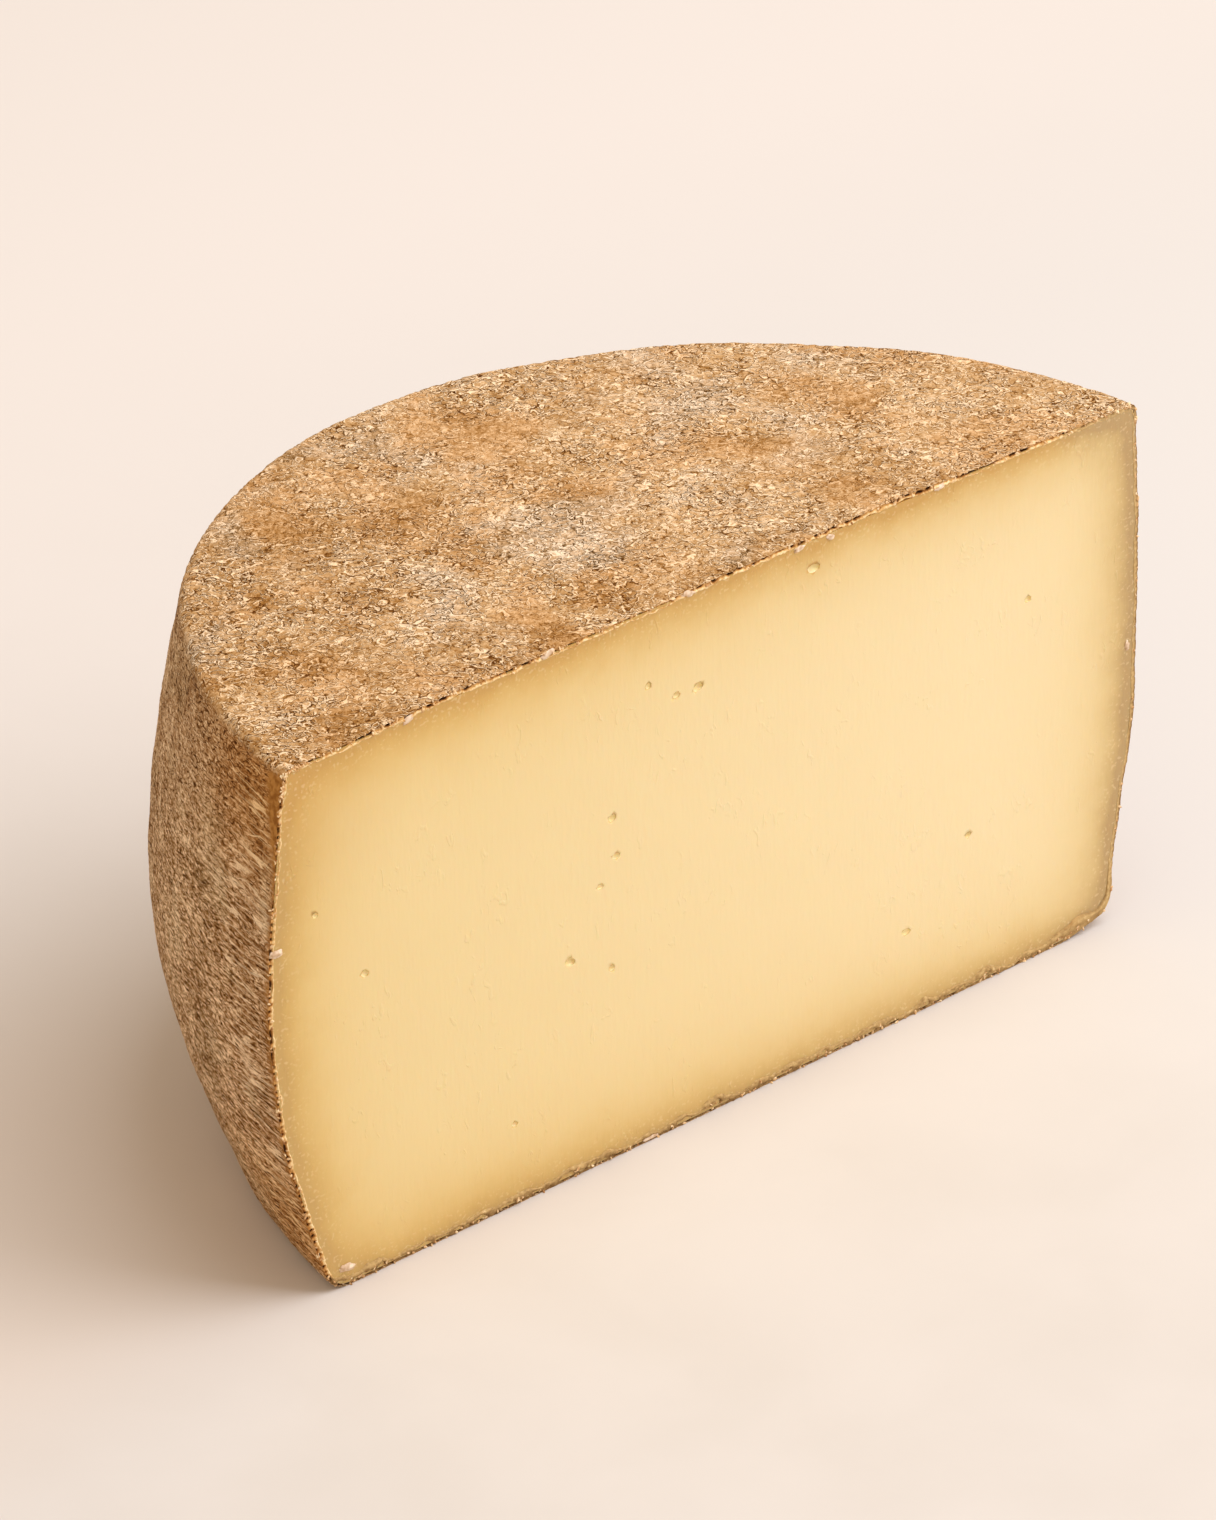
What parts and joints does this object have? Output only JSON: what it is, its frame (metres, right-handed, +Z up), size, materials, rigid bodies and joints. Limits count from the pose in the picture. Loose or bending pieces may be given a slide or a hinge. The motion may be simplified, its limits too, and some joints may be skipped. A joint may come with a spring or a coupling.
{
  "type": "half wheel of sheep's milk cheese",
  "caption": "Half wheel of pressed sheep's milk cheese with a brown, brushed natural rind and a smooth ivory cut face with a few small eyes.",
  "frame": {"origin": "middle of the bounding box's underside, on the surface that the cheese stands on", "axes": "+X along the cut face, -Y out of the cut face, +Z up"},
  "size_m": [0.2308, 0.1166, 0.1269],
  "materials": {
    "rind": "dry brushed rind, wrinkled and mottled, with pale bloom and brown patches",
    "paste": "smooth cut paste, satin, ivory in the middle and darker near the rind"
  },
  "bodies": {
    "root": {"half_wheel": "rind"}
  },
  "joints": []
}
